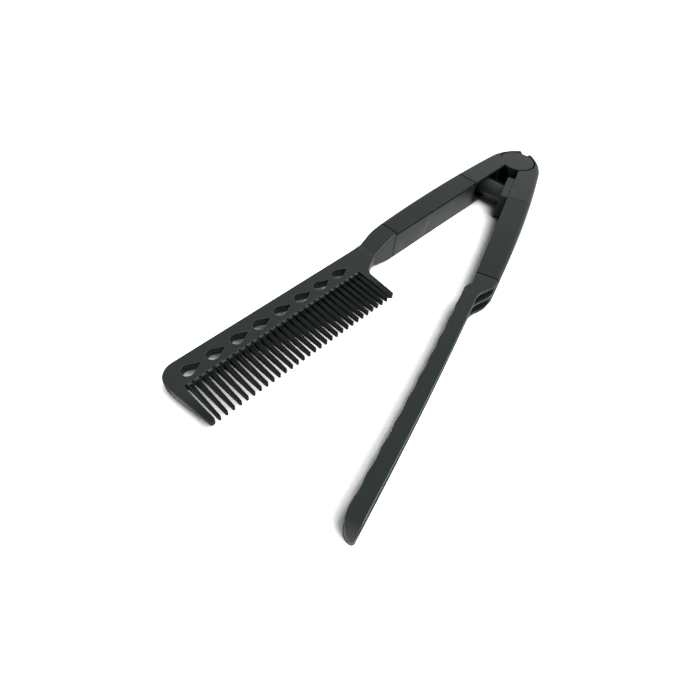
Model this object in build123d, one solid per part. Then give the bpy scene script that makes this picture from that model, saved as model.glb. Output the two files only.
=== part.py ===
from build123d import *
from math import acos, atan2, cos, degrees, hypot, radians, sin, sqrt
import os

# Straightening comb tong: two sprung arms on one hinge, a comb on one and a slotted jaw on the other.
# Millimetres.  The tong lies flat on Z = 0.  Each arm is drawn in its own frame: X runs out along the
# arm from the hinge axis, Y points in towards the other arm, and the two are set apart at the end.

# ------------------------------------------------------------------ the whole tong
rest_opening = 20.4        # degrees between the arms with the spring relaxed
body_height = 16.5         # thickness of the handles and the jaw
shell_wall = 1.7           # wall of the moulded channels
fixed_fit = 0.05           # gap round a piece that is pushed into another and stays
seam_gap = 0.35            # dark joint line between two mouldings
moving_gap = 0.3           # between pieces that pass each other
overcut = 1.0              # cuts run this far past the faces they open

# ------------------------------------------------------------------ arm outline
arm_inset = 3.1            # inner face of a handle, behind the line through the hinge axis
width_at_hinge = 12.7      # handle width where the hinge end begins
width_at_grip = 13.75     # handle width at the middle of the bow
width_at_neck = 12.0       # handle width at the outer seam
hinge_width_x = 10.0       # where width_at_hinge is taken
grip_width_x = 50.0        # where width_at_grip is taken
grip_length = 71.5         # from the hinge end's seam to the seam of comb or jaw
back_round = 3.0           # rounding of the back edges of the handles

# ------------------------------------------------------------------ hinge
lug_radius = 10.2          # outer lugs, on the comb arm
inner_lug_radius = 9.7     # inner lugs, on the clamp arm
inner_lug_thickness = 1.8
lug_side_gap = 0.25        # between an inner and an outer lug
lug_rim_gap = 0.5          # round the outer lugs, in the clamp arm's faces
ring_slot_width = 0.8      # slot between the outer lug and its own back wall
ring_slot_end = 72.0       # degrees from the arm, where that slot stops
wrap_start_x = 6.0         # where the back edge starts to wrap round the hinge
prong_radius = 15.8        # reach of the prongs behind the hinge
prong_angle = 23.0         # degrees from an arm's own line to the tip of its prong
comb_prong_heel = 11.0     # the same to the place where the comb arm's prong meets the lug
clamp_prong_heel = 21.0    # the same on the clamp arm
prong_round = 1.2
root_block_radius = 13.7   # solid root that ties the inner lugs to the clamp arm
hub_radius = 5.0           # barrel between the two inner lugs
bulkhead = 1.5             # wall that closes the hinge channel at the grip

# ------------------------------------------------------------------ hinge pin
pin_radius = 2.2
pin_running_fit = 0.06     # radial clearance in the inner lugs and the hub
pin_blind_depth = 0.8      # depth of its socket in the upper outer lug
pin_head_radius = 3.6
pin_head_height = 0.9
pin_head_recess = 0.15     # the head sits this far inside the lower face

# ------------------------------------------------------------------ grip
cover_thickness = 2.0      # plate that closes the grip on its inner side
groove_lip = 0.45          # thin lip of the shell over the open groove above the plate
groove_depth = 1.1
tenon_length = 14.0        # part of the hinge end, comb or jaw inside the grip
screw_head_radius = 2.3
screw_head_height = 1.1
screw_head_recess = 0.2
screw_radius = 1.2
screw_length = 9.5
screw_slot_width = 0.5
screw_slot_depth = 0.5

# ------------------------------------------------------------------ spring, its tube and its housing
tube_x = 26.6              # axis of the tube, out from the hinge
tube_radius = 5.0
tube_wall = 1.1
tube_reach = 13.0          # end of the tube, past the hinge line
tube_base_thickness = 2.0
tube_base_margin = 1.7     # base plate beyond the tube
housing_wall = 1.2         # end walls of the housing
housing_face_step = 0.8    # its faces lie below those of the arm
housing_reach = 1.2        # its mouth, past the hinge line
housing_floor = 0.8
housing_play = 0.4         # between the housing and the tube, on the side of the hinge
housing_room = 17.2        # its inside length, with the swing of the tube
spring_radius = 2.3        # to the middle of the wire
spring_wire_radius = 0.42  # to the corners of the six-sided wire
spring_wire_sides = 6
spring_turns = 6.0
spring_offset = 0.9        # the coil lies this much nearer the hinge than the tube's axis

# ------------------------------------------------------------------ comb, lengths out from the grip's seam
comb_thickness = 4.7
comb_back = 13.3           # back edge, behind the root line of the teeth
comb_corner_radius = 7.8
neck_length = 15.7         # where the neck's top has come down to the plate
neck_front = 3.2           # inner edge of the plate there, behind the root line
neck_back_length = 23.4    # where the back edge becomes straight
neck_back_slope = 0.12     # slope of the back edge where it leaves the grip
neck_flat = 0.6            # flat top of the neck before it slopes
neck_under_flat = 2.9      # flat underside of the neck before it slopes
neck_under_length = 18.3
neck_top_left = 0.6        # share of the drop that is left half way down the neck
neck_under_done = 0.36     # share of the rise that is done half way along the underside
shoulder_length = 25.6     # corner beside the first guard tooth
shoulder_rise = 1.6        # its place in front of the root line
foot_lead = 1.6            # foot of the first guard tooth, on from the shoulder
foot_rise = 4.5            # its place in front of the root line
tooth_start = 32.8         # first fine tooth
fine_teeth = 30
tooth_pitch = 3.3
tooth_length = 21.1        # at the first guard tooth
tooth_shortening = 1.1     # from there to the last guard tooth
tooth_root_width = 1.9
tooth_tip_width = 1.25
tooth_root_thickness = 4.0
tooth_tip_thickness = 2.2
root_step = 0.8            # length of the slope from spine to tooth thickness
guard_tip_width = 2.7
first_guard_step = 3.6     # tip of the first guard tooth, before the first fine tooth
last_guard_step = 3.1      # tip of the last guard tooth, after the last fine tooth
end_edge_step = 7.0        # end edge at the root line, after the last fine tooth
end_edge_lean = 0.5        # the end edge reaches this much further behind the root line
vent_count = 8
first_vent_step = 7.4      # round end of the first vent, after the first fine tooth
last_vent_step = 3.1       # round end of the last vent, before the last fine tooth
vent_line = 5.8            # behind the root line
vent_radius = 3.0
vent_length = 9.4          # from the round end to the point

# ------------------------------------------------------------------ jaw, lengths out from the grip's seam
jaw_start_edges = -0.56, -7.5    # inner and outer edge where the long jaw leaves its root
jaw_waist_edges = 1.96, -4.6     # the same half way along
jaw_end_edges = 6.25, -0.3       # the same where the outer edge rounds into the nose
jaw_start_length = 18.0
nose_thickness = 2.3       # closed nose beyond the slot
nose_drop = 1.9            # from the tip back to the place where the outer edge starts
jaw_tip_y = 1.3
heel_bulge = 0.6           # bow of the nose between its tip and the outer edge
wave_start_length = 22.7
wave_tail = 3.2            # plain edge between the last wave and the end of the slot
wave_half_count = 19
wave_height = 0.2          # crest above the mean line
rail_thickness = 3.8       # upper and lower rail
slot_lead = 5.2            # the slot starts this much before the comb's shoulder
slot_clearance = 0.9       # between the end of the comb and the end of the slot
slot_corner = 1.2
root_full_length = 1.3     # full-width root
root_flank_length = 2.7    # start of the flank that sweeps in to the jaw
root_flank_y = -14.2
root_flank_slope = 0.2
root_hollow_length = 8.4   # half way along the flank
root_hollow_y = -11.8
root_front_length = 8.3    # start and end of the inner edge's step towards the jaw
root_step_length = 12.6
pocket_start_length = 3.0
pocket_end_length = 16.3
pocket_core = 6.3          # core wall of the root, behind the hinge line
root_plate = 1.8           # upper and lower plate of the root
root_rib = 1.6             # rib between the two pockets

# ------------------------------------------------------------------ sizes that follow
inner_y = -arm_inset
mid_z = body_height / 2
housing_start = tube_x - tube_radius - housing_play
housing_end = housing_start + housing_room
hinge_channel_end = housing_end + housing_wall + fixed_fit
hinge_seam = hinge_channel_end + bulkhead
grip_start = hinge_seam + seam_gap
neck_seam = hinge_seam + grip_length
neck_start = neck_seam + seam_gap
clear_radius = lug_radius + ring_slot_width + lug_rim_gap / 2
tenon_inner_y = inner_y - cover_thickness - fixed_fit

comb_bottom = mid_z - comb_thickness / 2
comb_top = mid_z + comb_thickness / 2
neck_end = neck_seam + neck_length
neck_back_end = neck_seam + neck_back_length
shoulder_x = neck_seam + shoulder_length
first_tooth_x = neck_seam + tooth_start
last_tooth_x = first_tooth_x + (fine_teeth - 1) * tooth_pitch
first_guard_x = first_tooth_x - first_guard_step
last_guard_x = last_tooth_x + last_guard_step
end_edge_x = last_tooth_x + end_edge_step
comb_tip_x = end_edge_x + end_edge_lean
first_vent_x = first_tooth_x + first_vent_step
vent_pitch = (last_tooth_x - last_vent_step - first_vent_x) / (vent_count - 1)

slot_start = shoulder_x - slot_lead
slot_end = comb_tip_x + slot_clearance
jaw_tip_x = slot_end + nose_thickness
jaw_start_x = neck_seam + jaw_start_length
jaw_end_x = jaw_tip_x - nose_drop
jaw_waist_x = (jaw_start_x + jaw_end_x) / 2
wave_start = neck_seam + wave_start_length
wave_end = slot_end - wave_tail
wave_half = (wave_end - wave_start) / wave_half_count


def circle_through(a, b, c):
    """Centre and radius of the circle through three points."""
    d = 2 * (a[0] * (b[1] - c[1]) + b[0] * (c[1] - a[1]) + c[0] * (a[1] - b[1]))
    aa, bb, cc = (p[0] ** 2 + p[1] ** 2 for p in (a, b, c))
    x = (aa * (b[1] - c[1]) + bb * (c[1] - a[1]) + cc * (a[1] - b[1])) / d
    y = (aa * (c[0] - b[0]) + bb * (a[0] - c[0]) + cc * (b[0] - a[0])) / d
    return x, y, hypot(a[0] - x, a[1] - y)


back_circle = circle_through(
    (hinge_width_x, inner_y - width_at_hinge),
    (grip_width_x, inner_y - width_at_grip),
    (neck_seam, inner_y - width_at_neck),
)


# ------------------------------------------------------------------ helpers
def back_y(x, inset=0.0):
    """Back edge of an arm at x, or a line that runs inset millimetres inside it."""
    centre_x, centre_y, radius = back_circle
    return centre_y - sqrt((radius - inset) ** 2 - (x - centre_x) ** 2)


def back_arc(x1, x2, inset=0.0):
    """Stretch of the bowed back edge."""
    middle = (x1 + x2) / 2
    return ThreePointArc((x1, back_y(x1, inset)), (middle, back_y(middle, inset)), (x2, back_y(x2, inset)))


def polar(radius, angle):
    """Point on a circle round the hinge axis, the angle in degrees from the arm."""
    return radius * cos(radians(angle)), radius * sin(radians(angle))


def prism(edges, z1, z2):
    """Solid over a closed plan outline, between two heights."""
    return extrude(Pos(0, 0, z1) * Face(Wire(edges)), amount=z2 - z1, dir=(0, 0, 1))


def block(x1, x2, y1, y2, z1, z2):
    """Box between two corners."""
    return Pos((x1 + x2) / 2, (y1 + y2) / 2, (z1 + z2) / 2) * Box(x2 - x1, y2 - y1, z2 - z1)


def disc(radius, z1, z2):
    """Disc round the hinge axis."""
    return Pos(0, 0, (z1 + z2) / 2) * Cylinder(radius, z2 - z1)


def chain(points):
    """Straight edges through the points in order."""
    return [Line(a, b) for a, b in zip(points, points[1:])]


def arm_section(x1, x2, y_inner, inset=0.0):
    """Plan outline of a stretch of the arm, from the back edge in to y_inner."""
    corners = [(x2, back_y(x2, inset)), (x2, y_inner), (x1, y_inner), (x1, back_y(x1, inset))]
    return [back_arc(x1, x2, inset)] + chain(corners)


def round_back(solid):
    """Round the bowed back edges of a plain prism."""
    return fillet(solid.edges().filter_by(GeomType.CIRCLE), back_round)


def channel(x1, x2):
    """Hollow of the arm between its walls, open on the inner side."""
    outline = arm_section(x1, x2, inner_y + moving_gap, shell_wall)
    return prism(outline, shell_wall, body_height - shell_wall)


def channel_filler(x1, x2, y_inner):
    """Solid that fills the hollow of the arm with a fixed fit, in from the back wall to y_inner."""
    inset = shell_wall + fixed_fit
    return prism(arm_section(x1, x2, y_inner, inset), inset, body_height - inset)


def tenon(x1, x2):
    """Tongue that fills the end of the grip."""
    return channel_filler(x1, x2, tenon_inner_y)


# ------------------------------------------------------------------ grip
def screw_centres():
    """Screw places along the grip, one in each tenon."""
    places = (hinge_seam + tenon_length / 2, neck_seam - tenon_length / 2)
    return [(x, (back_y(x, shell_wall) + tenon_inner_y) / 2) for x in places]


def screw_bores(gap):
    """Countersunk through holes for the screws, entered from below."""
    top = screw_head_recess + screw_length
    solids = []
    for x, y in screw_centres():
        shank = Cylinder(screw_radius + gap, top, align=(Align.CENTER, Align.CENTER, Align.MIN))
        head = Cylinder(
            screw_head_radius + gap,
            screw_head_recess + screw_head_height,
            align=(Align.CENTER, Align.CENTER, Align.MIN),
        )
        solids.append(Pos(x, y, 0) * (shank + head))
    return solids


def handle_screws():
    """Screws that hold the grip to both tenons, heads on the underside."""
    screws = Part()
    for bore in screw_bores(0):
        box = bore.bounding_box()
        centre = box.center()
        slot = Box(2 * screw_head_radius, screw_slot_width, 2 * screw_slot_depth)
        screws += bore
        screws -= block(box.min.X, box.max.X, box.min.Y, box.max.Y, 0, screw_head_recess)
        screws -= Pos(centre.X, centre.Y, screw_head_recess) * slot
    return screws


def handle_shell():
    """Outer half of the grip: a channel with rounded back edges."""
    outer = round_back(prism(arm_section(grip_start, neck_seam, inner_y), 0, body_height))
    start = grip_start - overcut
    end = neck_seam + overcut
    past_inner = inner_y + overcut
    hollow = channel(start, end)
    ledge = block(start, end, tenon_inner_y, past_inner, -overcut, shell_wall)
    groove = block(start, end, inner_y - groove_depth, past_inner, mid_z, body_height - groove_lip)
    shell = outer - hollow - ledge - groove
    for bore in screw_bores(fixed_fit):
        shell -= bore
    return shell


def handle_cover():
    """Plate that closes the inner side of the grip, up to the groove under the shell's lip."""
    top = body_height - shell_wall - fixed_fit
    return block(grip_start, neck_seam, inner_y - cover_thickness, inner_y, 0, top)


# ------------------------------------------------------------------ hinge ends
def hinge_outline(prong_heel):
    """Plan of an arm's hinge end: bowed back, wrap round the hinge, prong end, inner edge."""
    centre_x, centre_y, _ = back_circle
    start = (wrap_start_x, back_y(wrap_start_x))
    tangent = (start[1] - centre_y, centre_x - start[0])
    prong = polar(prong_radius, 180 + prong_angle)
    wrap = TangentArc(start, prong, tangent=tangent)
    inner_x = sqrt(lug_radius ** 2 - arm_inset ** 2)
    corners = [
        prong,
        polar(lug_radius, 180 + prong_heel),
        (0, 0),
        (inner_x, inner_y),
        (hinge_seam, inner_y),
        (hinge_seam, back_y(hinge_seam)),
    ]
    return [back_arc(wrap_start_x, hinge_seam), wrap] + chain(corners)


def hinge_blank(prong_heel):
    """Solid hinge end of either arm, with rounded back edges and prong."""
    blank = round_back(prism(hinge_outline(prong_heel), 0, body_height))
    tip = blank.edges().filter_by(Axis.Z).sort_by(Axis.X)[0]
    return fillet(tip, prong_round)


def ring_slot():
    """Slot between the outer lug and the back wall, from the prong round to the arm."""
    inner = lug_radius + lug_rim_gap
    ring = disc(clear_radius, 0, body_height) - disc(inner, 0, body_height)
    reach = 2 * clear_radius
    first = -ring_slot_end
    last = comb_prong_heel / 2 - 180
    corners = [(0, 0), polar(reach, first), polar(reach, (first + last) / 2), polar(reach, last), (0, 0)]
    return ring & prism(chain(corners), 0, body_height)


def comb_hinge_arm():
    """Hinge end of the comb arm: open channel, outer lugs, prong and tenon."""
    arm = hinge_blank(comb_prong_heel) + disc(lug_radius, 0, body_height)
    arm -= channel(lug_radius, hinge_channel_end)
    arm -= disc(clear_radius, shell_wall, body_height - shell_wall)
    arm -= ring_slot()
    arm += tenon(hinge_channel_end, hinge_seam + tenon_length)
    arm -= disc(pin_radius + fixed_fit, 0, body_height - shell_wall + pin_blind_depth)
    arm -= disc(pin_head_radius + fixed_fit, 0, pin_head_recess + pin_head_height)
    return arm - screw_bores(fixed_fit)[0]


def inner_lug(z1):
    """Inner lug with the root that ties it to the clamp arm."""
    z2 = z1 + inner_lug_thickness
    root = prism(hinge_outline(clamp_prong_heel), z1, z2) & disc(root_block_radius, z1, z2)
    return disc(inner_lug_radius, z1, z2) + root


def clamp_hinge_arm():
    """Hinge end of the clamp arm: open channel, inner lugs with their barrel, prong and tenon."""
    low = shell_wall + lug_side_gap
    high = body_height - low - inner_lug_thickness
    arm = hinge_blank(clamp_prong_heel) - disc(lug_radius + lug_rim_gap, 0, body_height)
    arm -= channel(root_block_radius, hinge_channel_end)
    arm += inner_lug(low) + inner_lug(high)
    arm += disc(hub_radius, low, high + inner_lug_thickness)
    arm += tenon(hinge_channel_end, hinge_seam + tenon_length)
    arm -= disc(pin_radius + pin_running_fit, 0, body_height)
    return arm - screw_bores(fixed_fit)[0]


def hinge_pin():
    """Headed pin, pushed up from below into a blind socket."""
    top = body_height - shell_wall + pin_blind_depth - fixed_fit
    shank = disc(pin_radius, pin_head_recess, top)
    return shank + disc(pin_head_radius, pin_head_recess, pin_head_recess + pin_head_height)


# ------------------------------------------------------------------ spring
def tube_along_y(radius, y1, y2, x=tube_x):
    """Cylinder across the arm, round the tube's axis."""
    solid = Cylinder(radius, y2 - y1, align=(Align.CENTER, Align.CENTER, Align.MIN))
    return Pos(x, y1, mid_z) * Rot(-90, 0, 0) * solid


def tube_floor_y():
    """Inner face of the tube's base plate."""
    reach = tube_radius + tube_base_margin
    return back_y(tube_x - reach, shell_wall + fixed_fit) + tube_base_thickness


def spring_tube():
    """Tube on the comb arm that guides the spring."""
    reach = tube_radius + tube_base_margin
    base = channel_filler(tube_x - reach, tube_x + reach, tube_floor_y())
    tube = tube_along_y(tube_radius, tube_floor_y() - tube_base_thickness / 2, tube_reach)
    return base + tube - tube_along_y(tube_radius - tube_wall, tube_floor_y(), tube_reach + overcut)


def housing_floor_y():
    """Inner face of the housing's floor."""
    return back_y(housing_start, shell_wall + fixed_fit) + housing_floor


def spring_housing():
    """Box on the clamp arm that takes the end of the tube and the spring."""
    start = housing_start - housing_wall
    bottom = housing_face_step
    top = body_height - housing_face_step
    mouth = block(start, hinge_seam, inner_y, housing_reach, bottom, top)
    inside = channel_filler(start, housing_end + housing_wall, inner_y)
    floor = housing_floor_y()
    past_mouth = housing_reach + overcut
    room = block(housing_start, housing_end, floor, past_mouth, shell_wall, body_height - shell_wall)
    return mouth + inside - room


def spring_end():
    """End of the coil in the comb arm's frame, where it meets the housing's floor at rest."""
    turn = radians(rest_opening)
    coil_drop = spring_radius * sin(turn) + spring_wire_radius + fixed_fit
    return ((tube_x - spring_offset) * sin(turn) - housing_floor_y() - coil_drop) / cos(turn)


def return_spring():
    """Compression spring from the base of the tube to the floor of the housing."""
    start = tube_floor_y() + spring_wire_radius + fixed_fit
    length = spring_end() - start
    helix = Helix(pitch=length / spring_turns, height=length, radius=spring_radius)
    wire = Plane(origin=helix @ 0, z_dir=helix % 0) * RegularPolygon(spring_wire_radius, spring_wire_sides)
    coil = sweep(wire, path=helix, is_frenet=True)
    return Pos(tube_x - spring_offset, start, mid_z) * Rot(-90, 0, 0) * coil


# ------------------------------------------------------------------ comb
def tip_y(x):
    """Line that the tips of the teeth lie on, which falls a little towards the comb's end."""
    return tooth_length - tooth_shortening * (x - first_guard_x) / (last_guard_x - first_guard_x)


def tooth_sides(start, tip_x, tip_width, end):
    """Edges up one flank from start, round a tip and down the other flank to end."""
    half = tip_width / 2
    top = tip_y(tip_x)
    left = (tip_x - half, top - half)
    right = (tip_x + half, top - half)
    return [Line(start, left), ThreePointArc(left, (tip_x, top), right), Line(right, end)]


def tooth(x):
    """Edges of one fine tooth."""
    half = tooth_root_width / 2
    return tooth_sides((x - half, 0), x, tooth_tip_width, (x + half, 0))


def root_arc(x, gap):
    """Round root of the gap that ends at x."""
    return ThreePointArc((x - gap, 0), (x - gap / 2, -gap / 2), (x, 0))


def tooth_edges():
    """Edges of both guard teeth and all fine teeth, with a round root between neighbours."""
    gap = tooth_pitch - tooth_root_width
    first_inner = first_tooth_x - tooth_root_width / 2 - gap
    last_inner = last_tooth_x + tooth_root_width / 2 + gap
    foot = (shoulder_x + foot_lead, foot_rise)
    edges = [Line((shoulder_x, shoulder_rise), foot)]
    edges += tooth_sides(foot, first_guard_x, guard_tip_width, (first_inner, 0))
    for number in range(fine_teeth):
        x = first_tooth_x + number * tooth_pitch
        edges.append(root_arc(x - tooth_root_width / 2, gap))
        edges += tooth(x)
    edges.append(root_arc(last_inner, gap))
    return edges + tooth_sides((last_inner, 0), last_guard_x, guard_tip_width, (end_edge_x, 0))


def neck_back():
    """Back edge of the neck, from the straight spine to the grip."""
    ends = (neck_back_end, -comb_back), (neck_start, back_y(neck_start))
    return Spline(*ends, tangents=((-1, 0), (-1, -neck_back_slope)))


def comb_outline():
    """Plan of the neck, the spine and all the teeth as one closed outline."""
    corner = comb_corner_radius
    corner_centre = (comb_tip_x - corner, corner - comb_back)
    diagonal = corner / sqrt(2)
    edges = tooth_edges()
    edges += [
        Line((end_edge_x, 0), (comb_tip_x, corner_centre[1])),
        ThreePointArc(
            (comb_tip_x, corner_centre[1]),
            (corner_centre[0] + diagonal, corner_centre[1] - diagonal),
            (corner_centre[0], -comb_back),
        ),
        Line((corner_centre[0], -comb_back), (neck_back_end, -comb_back)),
        neck_back(),
    ]
    inner = [
        (neck_start, back_y(neck_start)),
        (neck_start, inner_y),
        (neck_end, -neck_front),
        (shoulder_x, shoulder_rise),
    ]
    return edges + chain(inner)


def rounded_back_block():
    """Block round the whole comb, with the rounded back edges of the neck."""
    past_tip = comb_tip_x + overcut
    past_teeth = tooth_length + overcut
    corners = [(neck_start, back_y(neck_start)), (neck_start, past_teeth), (past_tip, past_teeth)]
    corners += [(past_tip, -comb_back), (neck_back_end, -comb_back)]
    solid = prism([neck_back()] + chain(corners), 0, body_height)
    return fillet(solid.edges().filter_by(GeomType.BSPLINE), back_round)


def comb_side_profile():
    """Side view of neck and plate: full height at the seam, down to the plate from both faces."""
    past_tip = comb_tip_x + overcut
    top_start = neck_start + neck_flat
    top_middle = ((top_start + neck_end) / 2, comb_top + neck_top_left * (body_height - comb_top))
    under_start = neck_start + neck_under_flat
    under_end = neck_seam + neck_under_length
    under_middle = ((under_start + under_end) / 2, neck_under_done * comb_bottom)
    edges = [
        Line((neck_start, body_height), (top_start, body_height)),
        ThreePointArc((top_start, body_height), top_middle, (neck_end, comb_top)),
    ]
    edges += chain([(neck_end, comb_top), (past_tip, comb_top), (past_tip, comb_bottom)])
    edges.append(Line((past_tip, comb_bottom), (under_end, comb_bottom)))
    edges.append(ThreePointArc((under_end, comb_bottom), under_middle, (under_start, 0)))
    edges += chain([(under_start, 0), (neck_start, 0), (neck_start, body_height)])
    face = Plane.XZ * Face(Wire(edges))
    return extrude(face, amount=2 * (tooth_length + comb_back), both=True)


def tooth_relief():
    """Cutters that thin the teeth from the step at their root out to their tips."""
    root_z = tooth_root_thickness / 2
    tip_z = tooth_tip_thickness / 2
    far = comb_thickness
    past = tooth_length + overcut
    profile = chain(
        [
            (-root_step, comb_thickness / 2),
            (0, root_z),
            (tooth_length, tip_z),
            (past, tip_z),
            (past, far),
            (-root_step, far),
            (-root_step, comb_thickness / 2),
        ]
    )
    face = Plane.YZ * Face(Wire(profile))
    start = shoulder_x - overcut
    upper = extrude(Pos(start, 0, mid_z) * face, amount=comb_tip_x + overcut - start, dir=(1, 0, 0))
    middle = Plane.XY.offset(mid_z)
    return upper, mirror(upper, about=middle)


def vent(x):
    """Teardrop hole with its point towards the hinge."""
    point_distance = vent_length - vent_radius
    touch = degrees(acos(vent_radius / point_distance))
    above = (x - vent_radius * cos(radians(touch)), -vent_line + vent_radius * sin(radians(touch)))
    below = (above[0], -2 * vent_line - above[1])
    point = (x - point_distance, -vent_line)
    outline = chain([below, point, above])
    outline.append(ThreePointArc(above, (x + vent_radius, -vent_line), below))
    return prism(outline, comb_bottom - overcut, comb_top + overcut)


def comb():
    """Comb with guard teeth, vented spine, sloping neck and tenon, moulded as one."""
    blank = rounded_back_block() & comb_side_profile() & prism(comb_outline(), 0, body_height)
    for cutter in tooth_relief():
        blank -= cutter
    for number in range(vent_count):
        blank -= vent(first_vent_x + number * vent_pitch)
    stub = tenon(neck_seam - tenon_length, neck_start + seam_gap) - screw_bores(fixed_fit)[1]
    return blank + stub


# ------------------------------------------------------------------ clamp jaw
def jaw_edge_circle(side):
    """Circle that one long edge of the jaw lies on: side 0 is the inner edge, 1 the outer."""
    return circle_through(
        (jaw_start_x, jaw_start_edges[side]),
        (jaw_waist_x, jaw_waist_edges[side]),
        (jaw_end_x, jaw_end_edges[side]),
    )


def jaw_inner_y(x):
    """Mean line of the jaw's inner edge, which bows out towards the back."""
    centre_x, centre_y, radius = jaw_edge_circle(0)
    return centre_y - sqrt(radius ** 2 - (x - centre_x) ** 2)


def wave_edges():
    """Waved inner edge: crests and hollows by turns, as arcs about the mean line."""
    edges = []
    for number in range(wave_half_count):
        x1 = wave_start + number * wave_half
        side = -1 if number % 2 else 1
        middle = x1 + wave_half / 2
        x2 = x1 + wave_half
        crest = (middle, jaw_inner_y(middle) + side * wave_height)
        edges.append(ThreePointArc((x1, jaw_inner_y(x1)), crest, (x2, jaw_inner_y(x2))))
    return edges


def root_flank():
    """Outer edge of the root, swept in from its full width to the jaw."""
    centre_x, centre_y, _ = jaw_edge_circle(1)
    leave = (jaw_start_edges[1] - centre_y, centre_x - jaw_start_x)
    return Spline(
        (jaw_start_x, jaw_start_edges[1]),
        (neck_seam + root_hollow_length, root_hollow_y),
        (neck_seam + root_flank_length, root_flank_y),
        tangents=((-abs(leave[0]), -abs(leave[1])), (-1, -root_flank_slope)),
    )


def jaw_nose():
    """Round end of the jaw, from the last wave over the tip to the outer edge."""
    last = (wave_end, jaw_inner_y(wave_end))
    tip = (jaw_tip_x, jaw_tip_y)
    heading = (last[0] - wave_start, last[1] - jaw_inner_y(wave_start))
    return [
        TangentArc(last, tip, tangent=heading),
        SagittaArc(tip, (jaw_end_x, jaw_end_edges[1]), heel_bulge),
    ]


def jaw_outline():
    """Plan of the jaw with its root and nose."""
    root_step_x = neck_seam + root_step_length
    inner = [
        (neck_start, inner_y),
        (neck_seam + root_front_length, inner_y),
        (root_step_x, jaw_inner_y(root_step_x)),
        (wave_start, jaw_inner_y(wave_start)),
    ]
    outer_edge = ThreePointArc(
        (jaw_end_x, jaw_end_edges[1]),
        (jaw_waist_x, jaw_waist_edges[1]),
        (jaw_start_x, jaw_start_edges[1]),
    )
    edges = chain(inner) + wave_edges() + jaw_nose() + [outer_edge, root_flank()]
    full_x = neck_seam + root_full_length
    edges += chain([(neck_seam + root_flank_length, root_flank_y), (full_x, back_y(full_x))])
    edges += [back_arc(neck_start, full_x), Line((neck_start, back_y(neck_start)), (neck_start, inner_y))]
    return edges


def jaw_slot():
    """Slot through which the comb passes, between the two rails."""
    top = body_height - rail_thickness
    solid = block(slot_start, slot_end, -width_at_grip, width_at_grip, rail_thickness, top)
    return fillet(solid.edges().filter_by(Axis.Y), slot_corner)


def root_corners():
    """Waste outside the rounded back edges of the root."""
    stretch = prism(arm_section(neck_start, neck_seam + root_front_length, inner_y), 0, body_height)
    return stretch - round_back(stretch)


def root_pocket(z1, z2):
    """Cored pocket in the outer side of the root."""
    start = neck_seam + pocket_start_length
    end = neck_seam + pocket_end_length
    return block(start, end, 2 * inner_y - width_at_grip, -pocket_core, z1, z2)


def clamp_jaw():
    """Jaw with two rails, closed nose, cored root and tenon, moulded as one."""
    jaw = prism(jaw_outline(), 0, body_height) - root_corners() - jaw_slot()
    jaw -= root_pocket(root_plate, mid_z - root_rib / 2)
    jaw -= root_pocket(mid_z + root_rib / 2, body_height - root_plate)
    stub = tenon(neck_seam - tenon_length, neck_start + seam_gap) - screw_bores(fixed_fit)[1]
    return jaw + stub


# ------------------------------------------------------------------ assembly
def on_comb_arm(solid):
    """Set a piece of the comb arm at its place with the tong open."""
    return Rot(0, 0, -90 - rest_opening / 2) * solid


def on_clamp_arm(solid):
    """Set a piece of the clamp arm at its place with the tong open."""
    return Rot(0, 0, -90 + rest_opening / 2) * mirror(solid, about=Plane.XZ)


pieces = {
    "comb_hinge_arm": on_comb_arm(comb_hinge_arm()),
    "comb_handle_shell": on_comb_arm(handle_shell()),
    "comb_handle_cover": on_comb_arm(handle_cover()),
    "comb_handle_screws": on_comb_arm(handle_screws()),
    "comb": on_comb_arm(comb()),
    "spring_tube": on_comb_arm(spring_tube()),
    "return_spring": on_comb_arm(return_spring()),
    "hinge_pin": on_comb_arm(hinge_pin()),
    "clamp_hinge_arm": on_clamp_arm(clamp_hinge_arm()),
    "clamp_handle_shell": on_clamp_arm(handle_shell()),
    "clamp_handle_cover": on_clamp_arm(handle_cover()),
    "clamp_handle_screws": on_clamp_arm(handle_screws()),
    "clamp_jaw": on_clamp_arm(clamp_jaw()),
    "spring_housing": on_clamp_arm(spring_housing()),
}

# The origin is under the middle of the whole tong, on the surface it lies on.
boxes = [solid.bounding_box() for solid in pieces.values()]
middle_x = (min(box.min.X for box in boxes) + max(box.max.X for box in boxes)) / 2
middle_y = (min(box.min.Y for box in boxes) + max(box.max.Y for box in boxes)) / 2
origin = Pos(-middle_x, -middle_y, 0)

os.makedirs("parts", exist_ok=True)
for name, solid in pieces.items():
    export_step(origin * solid, f"parts/{name}.step")
print("hinge axis at", -middle_x, -middle_y)
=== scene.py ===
import logging
from dataclasses import dataclass
from enum import Enum
from math import cos, pi, radians, sin
from typing import Any, Optional, Union

import bmesh
import bpy
from mathutils import Matrix, Vector


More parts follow.
